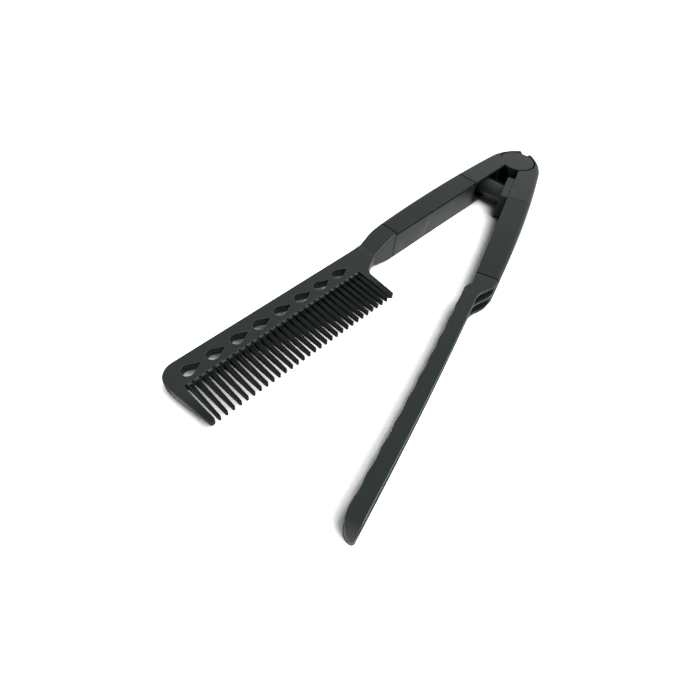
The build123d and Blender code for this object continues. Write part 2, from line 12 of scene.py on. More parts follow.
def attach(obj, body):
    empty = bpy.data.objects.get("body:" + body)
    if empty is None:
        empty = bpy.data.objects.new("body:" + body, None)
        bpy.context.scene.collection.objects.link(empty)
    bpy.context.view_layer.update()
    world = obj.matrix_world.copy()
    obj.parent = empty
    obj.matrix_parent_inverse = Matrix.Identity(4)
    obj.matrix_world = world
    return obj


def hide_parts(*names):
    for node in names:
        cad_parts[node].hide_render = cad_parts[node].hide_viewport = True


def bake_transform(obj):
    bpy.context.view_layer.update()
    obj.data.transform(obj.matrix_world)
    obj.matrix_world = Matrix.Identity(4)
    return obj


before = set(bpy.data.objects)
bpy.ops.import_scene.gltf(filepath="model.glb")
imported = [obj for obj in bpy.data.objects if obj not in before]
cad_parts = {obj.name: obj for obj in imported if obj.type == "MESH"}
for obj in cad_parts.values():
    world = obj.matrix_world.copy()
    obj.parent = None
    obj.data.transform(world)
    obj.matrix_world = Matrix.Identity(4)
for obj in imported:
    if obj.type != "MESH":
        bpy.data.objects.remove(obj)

LOG = logging.getLogger("comb_tong")
MM = 0.001
UP = Vector((0.0, 0.0, 1.0))

# Sizes of the tong that finishes and pieces share, in millimetres along an arm or upwards.
HINGE_SEAM_MM = 41.325
NECK_SEAM_MM = 112.825
BODY_HEIGHT_MM = 16.5
PLATE_TOP_MM = 10.6

# The grips' outer shells are a little darker and duller than the other plastic.
SHELL_COLOUR = (0.0085, 0.0135, 0.0105)
SHELL_GLOSS_LEVEL = 0.26

NOISE_MIDDLE = 0.5
MASK_SAMPLES = 4

Triple = tuple[float, float, float]
Range = tuple[float, float]
Operand = Union["Link", float, Triple]
Settings = Optional[dict[str, Any]]
Inputs = Optional[dict[Union[int, str], Any]]


# ---------------------------------------------------------------------- shader expressions
class NodeKind(Enum):
    """Shader nodes that the finishes are made of."""

    BACKGROUND = "ShaderNodeBackground"
    BEVEL = "ShaderNodeBevel"
    BUMP = "ShaderNodeBump"
    COORDINATES = "ShaderNodeTexCoord"
    DIFFUSE = "ShaderNodeBsdfDiffuse"
    GEOMETRY = "ShaderNodeNewGeometry"
    LIGHT_PATH = "ShaderNodeLightPath"
    MATERIAL_OUTPUT = "ShaderNodeOutputMaterial"
    MATH = "ShaderNodeMath"
    MIX = "ShaderNodeMix"
    MIX_SHADER = "ShaderNodeMixShader"
    NOISE = "ShaderNodeTexNoise"
    OCCLUSION = "ShaderNodeAmbientOcclusion"
    PRINCIPLED = "ShaderNodeBsdfPrincipled"
    SEPARATE = "ShaderNodeSeparateXYZ"
    VECTOR_MATH = "ShaderNodeVectorMath"
    WORLD_OUTPUT = "ShaderNodeOutputWorld"


class Link:
    """A node output that arithmetic works on: an expression adds the Math nodes for it."""

    def __init__(self, tree: "ShaderTree", socket: bpy.types.NodeSocket) -> None:
        """Wrap an output socket of a tree."""
        self.tree = tree
        self.socket = socket

    def _math(self, operation: str, *operands: Operand) -> "Link":
        """Value of a new Math node with the operands as its inputs, in order."""
        return self.tree.node(NodeKind.MATH, {"operation": operation}, dict(enumerate(operands)))

    def __add__(self, other: Operand) -> "Link":
        """Sum."""
        return self._math("ADD", self, other)

    __radd__ = __add__

    def __mul__(self, other: Operand) -> "Link":
        """Product."""
        return self._math("MULTIPLY", self, other)

    __rmul__ = __mul__

    def __sub__(self, other: Operand) -> "Link":
        """Difference."""
        return self._math("SUBTRACT", self, other)

    def __rsub__(self, other: Operand) -> "Link":
        """Difference from a number."""
        return self._math("SUBTRACT", other, self)

    def at_most(self, other: Operand) -> "Link":
        """Smaller of the two."""
        return self._math("MINIMUM", self, other)

    def at_least(self, other: Operand) -> "Link":
        """Larger of the two."""
        return self._math("MAXIMUM", self, other)

    def clamped(self) -> "Link":
        """Value held between 0 and 1."""
        return self.at_least(0.0).at_most(1.0)

    def root(self) -> "Link":
        """Square root."""
        return self._math("SQRT", self)

    def step(self, low: float, high: float) -> "Link":
        """Straight change from 0 at low to 1 at high, which may be the smaller of the two."""
        return ((self - low) * (1.0 / (high - low))).clamped()

    def peak(self, reach: float) -> "Link":
        """1 where the value is zero, falling to 0 where it is as far from zero as reach."""
        return (1.0 - self.at_least(-1.0 * self) * (1.0 / reach)).clamped()


class ShaderTree:
    """Node tree of one material or of the surroundings, with short ways to add nodes."""

    def __init__(self, owner: Union[bpy.types.Material, bpy.types.World]) -> None:
        """Start with an empty tree.

        Args:
            owner: The material or world whose tree this is.
        """
        owner.use_nodes = True
        self.owner = owner
        self.nodes = owner.node_tree.nodes
        self.links = owner.node_tree.links
        self.nodes.clear()

    def connect(self, value: Any, socket: bpy.types.NodeSocket) -> None:
        """Give a socket its link or its constant.

        Args:
            value: A Link, a number, or a colour or vector of three numbers.
            socket: The input that takes it.
        """
        if isinstance(value, Link):
            self.links.new(value.socket, socket)
        elif isinstance(value, tuple) and socket.type == "RGBA":
            socket.default_value = (*value, 1.0)
        else:
            socket.default_value = value

    def add(self, kind: NodeKind, settings: Settings, inputs: Inputs) -> bpy.types.Node:
        """Add any node.

        Args:
            kind: Which node.
            settings: Its properties, set first.
            inputs: Values or links of its sockets, by name or number.

        Returns:
            The node.
        """
        made = self.nodes.new(kind.value)
        for name, value in (settings or {}).items():
            setattr(made, name, value)
        for name, value in (inputs or {}).items():
            self.connect(value, made.inputs[name])
        return made

    def node(
        self,
        kind: NodeKind,
        settings: Settings = None,
        inputs: Inputs = None,
        output: Union[int, str] = 0,
    ) -> Link:
        """Output of a new node, chosen by name or number."""
        return Link(self, self.add(kind, settings, inputs).outputs[output])

    def mix_colour(self, share: Operand, first: Any, second: Any) -> Link:
        """Blend of two colours, by the share of the second."""
        inputs = {0: share, 6: first, 7: second}
        return self.node(NodeKind.MIX, {"data_type": "RGBA"}, inputs, 2)

    def noise(self, place: Link, size_mm: float, detail: float, roughness: float = 0.5) -> Link:
        """Cloudy noise around 0.5.

        Args:
            place: Position in the object, in metres.
            size_mm: Size of its grains.
            detail: Octaves.
            roughness: Weight of the finer octaves.

        Returns:
            The noise value.
        """
        sizes = {"Vector": place, "Scale": 1.0 / (size_mm * MM)}
        octaves = {"Detail": detail, "Roughness": roughness}
        return self.node(NodeKind.NOISE, {"noise_dimensions": "3D"}, sizes | octaves, "Fac")

    def place(self) -> Link:
        """Position in the object, in metres."""
        return self.node(NodeKind.COORDINATES, output="Object")

    def height_mm(self, place: Link) -> Link:
        """Height of a position above the table, in millimetres."""
        return self.node(NodeKind.SEPARATE, {}, {0: place}, "Z") * (1.0 / MM)

    def stretched(self, place: Link, factors: Triple) -> Link:
        """Position scaled along each axis."""
        multiply = {"operation": "MULTIPLY"}
        return self.node(NodeKind.VECTOR_MATH, multiply, {0: place, 1: factors}, "Vector")

    def dot(self, first: Link, second: Union[Link, Triple]) -> Link:
        """Dot product of two vectors."""
        product = {"operation": "DOT_PRODUCT"}
        return self.node(NodeKind.VECTOR_MATH, product, {0: first, 1: second}, "Value")

    def true_normal(self) -> Link:
        """Normal of the surface before any rounding or bump."""
        return self.node(NodeKind.GEOMETRY, output="Normal")

    def bumped(self, relief: dict[str, Any]) -> Link:
        """Normal of a surface with a relief of the given height, distance and strength."""
        return self.node(NodeKind.BUMP, {}, relief, "Normal")

    def open_air(self, reach_mm: float, samples: int) -> Link:
        """Share of the sky above the surface that nothing within reach hides."""
        reach = {"Distance": reach_mm * MM}
        return self.node(NodeKind.OCCLUSION, {"samples": samples}, reach, "AO")

    def background_rays(self) -> tuple[Link, Link]:
        """Find the rays that show the background itself.

        Returns:
            1 for camera rays, and 1 for the rays of reflections and of what is seen through.
        """
        names = ("Is Camera Ray", "Is Glossy Ray", "Is Transmission Ray")
        camera, glossy, through = (self.node(NodeKind.LIGHT_PATH, output=name) for name in names)
        return camera, (glossy + through).clamped()

    def finish(self, shader: Link) -> Any:
        """Connect the surface shader.

        Args:
            shader: The shader to show.

        Returns:
            The material or world.
        """
        is_world = isinstance(self.owner, bpy.types.World)
        kind = NodeKind.WORLD_OUTPUT if is_world else NodeKind.MATERIAL_OUTPUT
        self.add(kind, {}, {"Surface": shader})
        return self.owner


# ---------------------------------------------------------------------- finishes
@dataclass(frozen=True)
class ArmFrame:
    """Lines of one arm: distances from the hinge axis along it and in towards the other arm."""

    heading: float
    inward: float
    hinge_mm: Triple = (5.597, 116.598, 0.0)

    def directions(self) -> tuple[Vector, Vector]:
        """Find the arm's level directions.

        Returns:
            Unit vectors along the arm and in towards the other arm.
        """
        angles = radians(self.heading), radians(self.inward)
        along, inward = (Vector((cos(angle), sin(angle), 0.0)) for angle in angles)
        return along, inward

    def _distance(self, tree: ShaderTree, place: Link, angle: float) -> Link:
        """Measure from the hinge axis along a level direction.

        Args:
            tree: The material's tree.
            place: Position in the object, in metres.
            angle: Direction, in degrees from the X axis.

        Returns:
            The distance in millimetres.
        """
        direction = (cos(radians(angle)) / MM, sin(radians(angle)) / MM, 0.0)
        start = sum(part * step * MM for part, step in zip(self.hinge_mm, direction))
        return tree.dot(place, direction) - start

    def along(self, tree: ShaderTree, place: Link) -> Link:
        """Distance out from the hinge axis, in millimetres."""
        return self._distance(tree, place, self.heading)

    def across(self, tree: ShaderTree, place: Link) -> Link:
        """Distance in towards the other arm, in millimetres."""
        return self._distance(tree, place, self.inward)

    def from_hinge(self, tree: ShaderTree, place: Link) -> Link:
        """Distance from the hinge axis in any level direction, in millimetres."""
        along, across = self.along(tree, place), self.across(tree, place)
        return (along * along + across * across).root()


COMB_ARM = ArmFrame(heading=-100.2, inward=-10.2)
CLAMP_ARM = ArmFrame(heading=-79.8, inward=-169.8)


@dataclass(frozen=True)
class MouldedPlastic:
    """Charcoal moulded plastic: fine grain, flow marks, a painted highlight in uneven patches along
    outer edges, and painted shadow lines at the seams.
    """

    name: str
    arm: ArmFrame
    colour: Triple = (0.0130, 0.0190, 0.0155)
    darkest: float = 0.7
    lightest: float = 1.3
    roughness: float = 0.44
    gloss_level: float = 0.3
    ior: float = 1.46
    grain_size_mm: float = 0.16
    grain_depth_mm: float = 0.006
    grain_strength: float = 0.5
    grain_roughness: float = 0.10
    flow_size_mm: float = 14.0
    flow_strength: float = 0.36
    flow_roughness: float = -0.14
    # Pale edge colour and its strength: a painted highlight along outer edges.
    edge_highlight_colour: Triple = (0.160, 0.175, 0.165)
    edge_width_mm: float = 0.5
    edge_highlight_strength: float = 0.25
    edge_bend: Range = (0.02, 0.22)
    edge_open: Range = (0.55, 0.9)
    edge_reach_mm: float = 1.2
    edge_roughness: float = -0.08
    highlight_patch_mm: float = 2.2
    highlight_patch_least: float = 0.35
    highlight_patch_spread: float = 0.9
    seams_mm: tuple[float, ...] = ()
    seam_reach_mm: float = 0.5
    seam_full: float = 0.5
    # Colour factor of the dull black that paints shade wherever a mask asks for it.
    painted_shade_level: float = 0.1
    ring_mm: float = 0.0
    ring_behind_mm: float = 20.0
    ring_fade_mm: float = 0.5

    def build(self) -> bpy.types.Material:
        """Make the material.

        Returns:
            The finished material.
        """
        tree = ShaderTree(bpy.data.materials.new(self.name))
        place = tree.place()
        grain = tree.noise(place, self.grain_size_mm, detail=3.0, roughness=0.6)
        flow = tree.noise(place, self.flow_size_mm, detail=4.0, roughness=0.55)
        bevel = {"Radius": self.edge_width_mm * MM}
        rounded = tree.node(NodeKind.BEVEL, {"samples": MASK_SAMPLES}, bevel, "Normal")
        # Painted edge highlight: pale colour along outer edges, in uneven patches.
        edge_light = self._edge_highlight(tree, place, rounded)
        flow_offset, grain_offset = flow - NOISE_MIDDLE, grain - NOISE_MIDDLE
        shade = flow_offset * self.flow_strength + grain_offset * self.grain_strength + NOISE_MIDDLE
        darkest, lightest = self._scaled(self.darkest), self._scaled(self.lightest)
        marked = self._marked(tree, place, tree.mix_colour(shade.clamped(), darkest, lightest))
        gloss = flow_offset * self.flow_roughness + grain_offset * self.grain_roughness
        relief = {"Distance": self.grain_depth_mm * MM, "Height": grain, "Normal": rounded}
        surface = {
            "Base Color": tree.mix_colour(edge_light.clamped(), marked, self.edge_highlight_colour),
            "Roughness": (gloss + self.roughness + edge_light * self.edge_roughness).clamped(),
            "IOR": self.ior,
            "Specular IOR Level": self.gloss_level,
            "Normal": tree.bumped(relief | {"Strength": 1.0}),
        }
        plastic = tree.node(NodeKind.PRINCIPLED, {}, surface, "BSDF")
        return tree.finish(self._darkened(tree, place, plastic))

    def _darkened(self, tree: ShaderTree, place: Link, plastic: Link) -> Link:
        """Blend the plastic with a dull black where a mask asks for it, which paints shade.

        Args:
            tree: The material's tree.
            place: Position in the object, in metres.
            plastic: Shader of the plastic.

        Returns:
            The blended shader, or the plastic itself if it has no mask.
        """
        masks = self._painted_shade_masks(tree, place)
        if not masks:
            return plastic
        deepest = masks[0]
        for mask in masks[1:]:
            deepest = deepest.at_least(mask)
        # Dull black that paints the shade.
        black = tree.node(NodeKind.DIFFUSE, {}, {"Color": self._scaled(self.painted_shade_level)}, "BSDF")
        return tree.node(NodeKind.MIX_SHADER, {}, {0: deepest, 1: plastic, 2: black}, "Shader")

    def _scaled(self, factor: float) -> Triple:
        """Own colour, lighter or darker."""
        red, green, blue = self.colour
        return red * factor, green * factor, blue * factor

    def _edge_highlight(self, tree: ShaderTree, place: Link, rounded: Link) -> Link:
        """Find where to paint the pale highlight along outer edges, in uneven patches.

        Args:
            tree: The material's tree.
            place: Position in the object, in metres.
            rounded: The rounded normal, which leaves the true one at an edge.

        Returns:
            0 on flat stretches and inner corners, rising towards 1 at an outer edge.
        """
        highlight_patches = tree.noise(place, self.highlight_patch_mm, detail=5.0, roughness=0.65)
        bend = (1.0 - tree.dot(tree.true_normal(), rounded)).step(*self.edge_bend)
        outer = bend * tree.open_air(self.edge_reach_mm, MASK_SAMPLES).step(*self.edge_open)
        return outer * (highlight_patches * self.highlight_patch_spread + self.highlight_patch_least) * self.edge_highlight_strength

    def _marked(self, tree: ShaderTree, place: Link, clean: Link) -> Link:
        """Colour with the piece's own marks, of which a plain piece has none."""
        return clean

    def _painted_shade_masks(self, tree: ShaderTree, place: Link) -> list[Link]:
        """Draw shadow lines along the seams across the arm and round the hinge.

        Args:
            tree: The material's tree.
            place: Position in the object, in metres.

        Returns:
            One mask for each seam: 1 in it, falling to 0 beside it.
        """
        along = self.arm.along(tree, place)
        masks = [self._line_mask(along - seam) for seam in self.seams_mm]
        if self.ring_mm:
            behind = (along - self.ring_behind_mm).step(self.ring_fade_mm, 0.0)
            outside = self.arm.across(tree, place).step(self.ring_behind_mm, 0.0)
            ring = self._line_mask(self.arm.from_hinge(tree, place) - self.ring_mm)
            masks.append(ring * behind * outside)
        return masks

    def _line_mask(self, offset: Link) -> Link:
        """Painted shade line where an offset in millimetres passes zero."""
        return offset.peak(self.seam_reach_mm).step(0.0, self.seam_full)


@dataclass(frozen=True)
class CoverPlastic(MouldedPlastic):
    """Plastic of a grip's inner plate: paler towards the bottom, with one pale rub mark."""

    # Colour the plate turns towards the bottom, in upright streaks, more away from the hinge.
    paling_colour: Triple = (0.042, 0.051, 0.046)
    paling_top_mm: float = 13.0
    paling_least: float = 0.15
    paling_at_hinge: float = 0.12
    paling_rise_mm: Range = (HINGE_SEAM_MM - 4.0, HINGE_SEAM_MM + 30.0)
    streak_size_mm: float = 8.0
    streak_factors: Triple = (1.0, 1.0, 0.25)
    streak_step: Range = (0.32, 0.68)
    rub_colour: Triple = (0.10, 0.11, 0.105)
    rub_mark_mm: float = 88.0
    rub_width_mm: float = 2.0
    rub_lean: float = 0.35
    rub_grain_mm: float = 1.6
    rub_foot_mm: Range = (1.0, 3.0)
    rub_head_mm: Range = (12.5, 9.5)

    def _marked(self, tree: ShaderTree, place: Link, clean: Link) -> Link:
        """Make the colour paler towards the bottom, in upright streaks, and add a leaning rub mark.

        Args:
            tree: The material's tree.
            place: Position in the object, in metres.
            clean: Colour of the clean plastic.

        Returns:
            The marked colour.
        """
        height, along = tree.height_mm(place), self.arm.along(tree, place)
        stretched = tree.stretched(place, self.streak_factors)
        streaks = tree.noise(stretched, self.streak_size_mm, detail=3.0).step(*self.streak_step)
        fade = height.step(self.paling_top_mm, 0.0)
        away = along.step(*self.paling_rise_mm) + self.paling_at_hinge
        paling = fade * (streaks + self.paling_least) * away
        paled = tree.mix_colour(paling.clamped(), clean, self.paling_colour)
        line = (along - self.rub_mark_mm + height * self.rub_lean).peak(self.rub_width_mm)
        ends = height.step(*self.rub_foot_mm) * height.step(*self.rub_head_mm)
        rub = line * tree.noise(place, self.rub_grain_mm, detail=3.0, roughness=0.6) * ends
        return tree.mix_colour(rub.clamped(), paled, self.rub_colour)


@dataclass(frozen=True)
class CombPlastic(MouldedPlastic):
    """Plastic of the comb: painted shade on the teeth in front of a painted highlight at their
    roots, and a neck with a painted sheen and painted lines of highlight and shade.
    """

    gap_ends_mm: Range = (144.2, 241.6)
    gap_fade_mm: float = 0.4
    stipple_size_mm: float = 0.9
    stipple_step: Range = (0.35, 0.65)
    # Painted shade on the teeth, deeper at their roots, down the guard teeth and on the end face.
    tooth_start_mm: Range = (0.45, 0.8)
    tooth_shade: float = 0.46
    tooth_stipple: float = 0.24
    root_reach_mm: Range = (4.5, 1.0)
    root_shade: float = 0.22
    guard_fall_mm: Range = (4.0, 15.0)
    guard_shade: float = 0.28
    guard_stipple: float = 0.25
    end_facing: Range = (0.5, 0.8)
    end_behind_mm: Range = (0.0, -4.0)
    end_shade: float = 0.6
    # Colour of the painted highlight along the teeth's roots.
    lip_highlight_colour: Triple = (0.085, 0.095, 0.088)
    lip_centre_mm: float = -0.1
    lip_width_mm: float = 0.6
    lip_grain_mm: float = 1.3
    lip_step: Range = (0.38, 0.55)
    # Painted sheen: the neck's colour is made paler.
    neck_sheen_colour: Triple = (0.060, 0.066, 0.063)
    neck_sheen_share: float = 0.16
    neck_start_mm: Range = (NECK_SEAM_MM + 0.3, NECK_SEAM_MM + 1.2)
    neck_end_mm: Range = (134.0, 128.0)
    rim_start_mm: float = 113.8
    rim_end_mm: float = 128.5
    rim_lead_mm: float = 2.0
    rim_tail_mm: float = 1.0
    rim_bow: float = 0.4
    rim_facing: Range = (0.5, 0.7)
    # Painted highlight line along the neck's inner face, and a painted shade line under it.
    highlight_line_colour: Triple = (0.15, 0.16, 0.155)
    highlight_line_depth_mm: float = 0.8
    highlight_line_fade_mm: float = 0.2
    shade_line_end_mm: Range = (2.1, 1.6)
    shade_line_strength: float = 0.6

    def _between_guards(self, tree: ShaderTree, place: Link) -> Link:
        """Find the fine teeth.

        Args:
            tree: The material's tree.
            place: Position in the object, in metres.

        Returns:
            1 along the fine teeth, 0 at the guard teeth and beyond them.
        """
        first, last = self.gap_ends_mm
        along = self.arm.along(tree, place)
        past_first = along.step(first - self.gap_fade_mm, first)
        return past_first * along.step(last + self.gap_fade_mm, last)

    def _neck(self, tree: ShaderTree, place: Link) -> Link:
        """1 along the neck, falling to 0 where the spine begins."""
        along = self.arm.along(tree, place)
        return along.step(*self.neck_start_mm) * along.step(*self.neck_end_mm)

    def _painted_neck_lines(self, tree: ShaderTree, place: Link) -> tuple[Link, Link]:
        """Find where to paint a highlight line along the neck's inner face, right under the falling
        top, and a shade line under it.

        Args:
            tree: The material's tree.
            place: Position in the object, in metres.

        Returns:
            1 on the painted highlight line, and 1 on the painted shade line under it.
        """
        start, end = self.rim_start_mm, self.rim_end_mm
        along = self.arm.along(tree, place)
        gone = along.step(start, end)
        left = 1.0 - gone + gone * (1.0 - gone) * self.rim_bow
        top = left * (BODY_HEIGHT_MM - PLATE_TOP_MM) + PLATE_TOP_MM
        depth = top - tree.height_mm(place)
        _, inward = self.arm.directions()
        inner_face = tree.dot(tree.true_normal(), tuple(inward)).step(*self.rim_facing)
        lead = along.step(start, start + self.rim_lead_mm)
        tail = along.step(end + self.rim_tail_mm, end - self.rim_tail_mm)
        shown = lead * tail * inner_face
        edge = self.highlight_line_depth_mm, self.highlight_line_depth_mm + self.highlight_line_fade_mm
        highlight_line = depth.step(*reversed(edge)) * shown
        shade_line = depth.step(*edge) * depth.step(*self.shade_line_end_mm) * shown
        return highlight_line, shade_line

    def _marked(self, tree: ShaderTree, place: Link, clean: Link) -> Link:
        """Add the paler neck (a painted sheen), the painted highlight line on its inner face and
        the broken painted highlight along the teeth's roots.

        Args:
            tree: The material's tree.
            place: Position in the object, in metres.
            clean: Colour of the clean plastic.

        Returns:
            The marked colour.
        """
        # Painted sheen: the neck is made paler.
        neck = self._neck(tree, place) * self.neck_sheen_share
        pale = tree.mix_colour(neck, clean, self.neck_sheen_colour)
        highlight_line, _ = self._painted_neck_lines(tree, place)
        with_highlight_line = tree.mix_colour(highlight_line, pale, self.highlight_line_colour)
        # Painted highlight along the teeth's roots, broken into patches between the guard teeth.
        lip_highlight = (self.arm.across(tree, place) - self.lip_centre_mm).peak(self.lip_width_mm)
        patches = tree.noise(place, self.lip_grain_mm, detail=2.0, roughness=0.6)
        broken = patches.step(*self.lip_step) * self._between_guards(tree, place)
        return tree.mix_colour(lip_highlight * broken, with_highlight_line, self.lip_highlight_colour)

    def _painted_shade_masks(self, tree: ShaderTree, place: Link) -> list[Link]:
        """Add painted shade on the teeth, the guard teeth and the end face, and the painted shade
        line on the neck, to the shadow lines.

        Args:
            tree: The material's tree.
            place: Position in the object, in metres.

        Returns:
            One mask for each darkened place.
        """
        across = self.arm.across(tree, place)
        grains = tree.noise(place, self.stipple_size_mm, detail=3.0, roughness=0.7)
        stipple = grains.step(*self.stipple_step)
        # Painted shade on the fine teeth, deepest near their roots, in stipples.
        shade = across.step(*self.root_reach_mm) * self.root_shade
        shade = shade + stipple * self.tooth_stipple + self.tooth_shade
        fine = across.step(*self.tooth_start_mm) * shade * self._between_guards(tree, place)
        # Painted shade falling down each guard tooth, in stipples.
        guard_shade = stipple * self.guard_stipple + self.guard_shade
        guard = across.step(*self.guard_fall_mm) * guard_shade
        # Painted shade on the end face, which faces outwards.
        outward, _ = self.arm.directions()
        end_face = tree.dot(tree.true_normal(), tuple(outward)).step(*self.end_facing)
        end = end_face * across.step(*self.end_behind_mm) * self.end_shade
        _, shade_line = self._painted_neck_lines(tree, place)
        masks = super()._painted_shade_masks(tree, place)
        return masks + [fine, guard, end, shade_line * self.shade_line_strength]


@dataclass(frozen=True)
class BareSteel:
    """Plated steel of pin, screws and spring, with fine turning marks."""

    name: str
    colour: Triple = (0.52, 0.53, 0.54)
    dull_colour: Triple = (0.34, 0.34, 0.33)
    dull_share: float = 0.5
    bloom_size_mm: float = 1.4
    bloom_step: Range = (0.45, 0.7)
    roughness: float = 0.32
    mark_size_mm: float = 0.7
    mark_factors: Triple = (1.0, 1.0, 8.0)
    mark_roughness: float = 0.25
    mark_depth_mm: float = 0.004
    mark_strength: float = 0.6

    def build(self) -> bpy.types.Material:
        """Make the material.

        Returns:
            The finished material.
        """
        tree = ShaderTree(bpy.data.materials.new(self.name))
        place = tree.place()
        stretched = tree.stretched(place, self.mark_factors)
        marks = tree.noise(stretched, self.mark_size_mm, detail=4.0, roughness=0.7)
        bloom = tree.noise(place, self.bloom_size_mm, detail=3.0).step(*self.bloom_step)
        gloss = (marks - NOISE_MIDDLE) * self.mark_roughness + self.roughness
        relief = {
            "Strength": self.mark_strength,
            "Distance": self.mark_depth_mm * MM,
            "Height": marks,
        }
        surface = {
            "Base Color": tree.mix_colour(bloom * self.dull_share, self.colour, self.dull_colour),
            "Metallic": 1.0,
            "Roughness": gloss.clamped(),
            "Normal": tree.bumped(relief),
        }
        return tree.finish(tree.node(NodeKind.PRINCIPLED, {}, surface, "BSDF"))


@dataclass(frozen=True)
class WhiteTable:
    """White table top, brighter than white to the camera, that keeps the tong's shadow, with a
    painted shadow to the camera where nearby parts hide the sky, strongest near the hinge.
    """

    name: str = "white_table"
    roughness: float = 0.3
    lit_colour: Triple = (0.85, 0.85, 0.85)
    mirrored_colour: Triple = (1.2, 1.2, 1.2)
    seen_colour: Triple = (1.9, 1.9, 1.9)
    # Painted shadow on the table, seen by the camera only, strongest near the hinge.
    painted_shadow_colour: Triple = (0.35, 0.35, 0.35)
    painted_shadow_reach_mm: float = 16.0
    painted_shadow_samples: int = 8
    painted_shadow_step: Range = (0.97, 0.25)
    painted_shadow_least: float = 0.2
    painted_shadow_at_hinge: float = 0.8
    hinge_reach_mm: Range = (73.0, 48.0)

    def build(self) -> bpy.types.Material:
        """Make the material.

        Returns:
            The finished material.
        """
        tree = ShaderTree(bpy.data.materials.new(self.name))
        camera, mirrored = tree.background_rays()
        # Painted shadow: to the camera the table darkens where nearby parts hide the sky, most near
        # the hinge.
        open_air = tree.open_air(self.painted_shadow_reach_mm, self.painted_shadow_samples)
        near_hinge = COMB_ARM.from_hinge(tree, tree.place()).step(*self.hinge_reach_mm)
        weight = near_hinge * self.painted_shadow_at_hinge + self.painted_shadow_least
        painted_shadow = open_air.step(*self.painted_shadow_step) * weight
        seen = tree.mix_colour(painted_shadow, self.seen_colour, self.painted_shadow_colour)
        unseen = tree.mix_colour(mirrored, self.lit_colour, self.mirrored_colour)
        surface = {"Color": tree.mix_colour(camera, unseen, seen), "Roughness": self.roughness}
        return tree.finish(tree.node(NodeKind.DIFFUSE, {}, surface, "BSDF"))


# ---------------------------------------------------------------------- the tong
def dress_node(piece: bpy.types.Object, finish: bpy.types.Material) -> None:
    """Put one material on every slot of a piece.

    Args:
        piece: The piece.
        finish: Its material.
    """
    if not piece.material_slots:
        piece.data.materials.append(finish)
    for slot in piece.material_slots:
        slot.material = finish
    LOG.info("piece %s has finish %s", piece.name, finish.name)


def add_object(name: str, data: Any) -> bpy.types.Object:
    """Put a mesh, lamp or camera into the scene.

    Args:
        name: Name of the new object.
        data: What the object shows.

    Returns:
        The object.
    """
    made = bpy.data.objects.new(name, data)
    bpy.context.collection.objects.link(made)
    return made


def closed_mesh(name: str, points_mm: list[Vector], faces: list[tuple]) -> bpy.types.Mesh:
    """Make a closed mesh whose faces all look outwards.

    Args:
        name: Name of the mesh.
        points_mm: Its points.
        faces: Numbers of the points round each face.

    Returns:
        The mesh, in metres.
    """
    mesh = bpy.data.meshes.new(name)
    mesh.from_pydata([point * MM for point in points_mm], [], faces)
    shape = bmesh.new()
    shape.from_mesh(mesh)
    bmesh.ops.recalc_face_normals(shape, faces=shape.faces)
    shape.to_mesh(mesh)
    shape.free()
    return mesh


@dataclass
class CombSide:
    """Comb arm: hinge end, grip of shell and cover, the comb itself and the spring tube."""

    body: str = "comb_side"
    hinge_node: str = "comb_hinge_arm"
    shell_node: str = "comb_handle_shell"
    tube_node: str = "spring_tube"
    cover_node: str = "comb_handle_cover"
    comb_node: str = "comb"
    seams_mm: tuple[float, ...] = (HINGE_SEAM_MM, NECK_SEAM_MM)
    ring_mm: float = 10.7
    ring_behind_mm: float = 3.3
    # Strength of the painted highlight along the comb's outer edges.
    comb_edge_highlight: float = 0.8
    comb_edge_width_mm: float = 0.6

    def dress(self) -> None:
        """Give each piece of the arm its finish."""
        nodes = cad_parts
        hinge = MouldedPlastic(
            "comb_hinge_plastic",
            COMB_ARM,
            seams_mm=self.seams_mm,
            ring_mm=self.ring_mm,
            ring_behind_mm=self.ring_behind_mm,
        )
        shell = MouldedPlastic(
            "comb_shell_plastic",
            COMB_ARM,
            colour=SHELL_COLOUR,
            gloss_level=SHELL_GLOSS_LEVEL,
            seams_mm=self.seams_mm,
        )
        comb = CombPlastic(
            "comb_plastic",
            COMB_ARM,
            edge_highlight_strength=self.comb_edge_highlight,
            edge_width_mm=self.comb_edge_width_mm,
            seams_mm=(NECK_SEAM_MM,),
        )
        dress_node(nodes[self.hinge_node], hinge.build())
        dress_node(nodes[self.shell_node], shell.build())
        dress_node(nodes[self.tube_node], MouldedPlastic("tube_plastic", COMB_ARM).build())
        dress_node(nodes[self.cover_node], CoverPlastic("comb_cover_plastic", COMB_ARM).build())
        dress_node(nodes[self.comb_node], comb.build())
        LOG.info("comb side dressed, on body %s", self.body)


